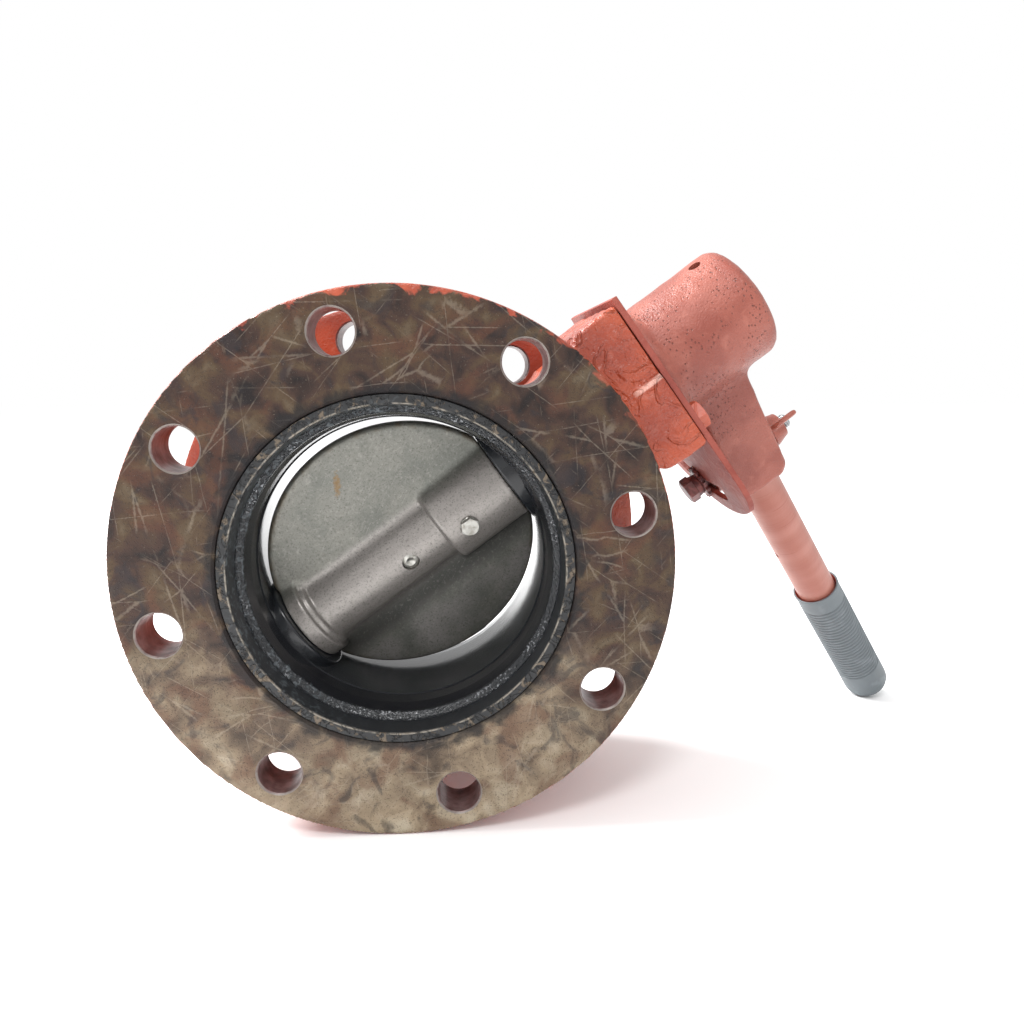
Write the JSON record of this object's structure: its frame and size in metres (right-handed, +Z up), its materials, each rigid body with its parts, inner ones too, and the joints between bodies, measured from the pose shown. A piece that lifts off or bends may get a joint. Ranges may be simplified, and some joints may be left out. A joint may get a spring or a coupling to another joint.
{
  "type": "butterfly valve",
  "caption": "Lever-operated double-flanged butterfly valve with rubber seat, locking quadrant and ribbed grip, shown part open.",
  "frame": {"origin": "centre of the base of the bounding box, on the plane that the two flange rims and the end of the grip lie on", "axes": "+Z up; +Y along the pipe axis from the front flange to the rear flange; the stem leans up towards +X, 36.255 degrees above it"},
  "size_m": [0.4878, 0.1798, 0.3029],
  "materials": {
    "red_paint": "thick brushed-on red-orange paint over rough cast iron",
    "seat_rubber": "glossy black seat rubber, dirty at the flange faces",
    "grip_rubber": "ribbed grey-black rubber",
    "disc_metal": "satin plated casting with light rust stains",
    "steel": "bright plated steel",
    "bronze": "machined bronze"
  },
  "bodies": {
    "valve_body": {"body_casting": "red_paint", "seat_liner": "seat_rubber", "lower_stem_bushing": "bronze", "inner_stem_bushing": "bronze", "upper_stem_bushing": "bronze", "stem_packing": "seat_rubber", "bottom_plug": "red_paint", "thrust_washer": "bronze", "locking_plate": "red_paint", "pad_bolt_front": "red_paint", "pad_bolt_rear": "red_paint"},
    "lever_and_disc": {"stem": "steel", "stem_key": "steel", "disc": "disc_metal", "disc_pin_upper": "steel", "disc_pin_lower": "steel", "lever_casting": "red_paint", "hub_set_screw": "steel", "lever_rod": "red_paint", "grip": "grip_rubber", "lock_bolt": "steel", "toothed_washer": "steel", "lock_spacer": "steel"},
    "wing_nut": {"wing_nut": "red_paint"}
  },
  "joints": [
    {"name": "stem_turn", "type": "hinge", "parent": "valve_body", "child": "lever_and_disc", "pos_m": [-0.10427, -0.02636, 0.13967], "axis": [0.8064, 0, 0.5914], "range_deg": [-18.7, 71.3]},
    {"name": "wing_nut_turn", "type": "hinge", "parent": "lever_and_disc", "child": "wing_nut", "pos_m": [0.11616, 0.00057, 0.20265], "axis": [0.8064, 0, 0.5914], "continuous": true}
  ]
}
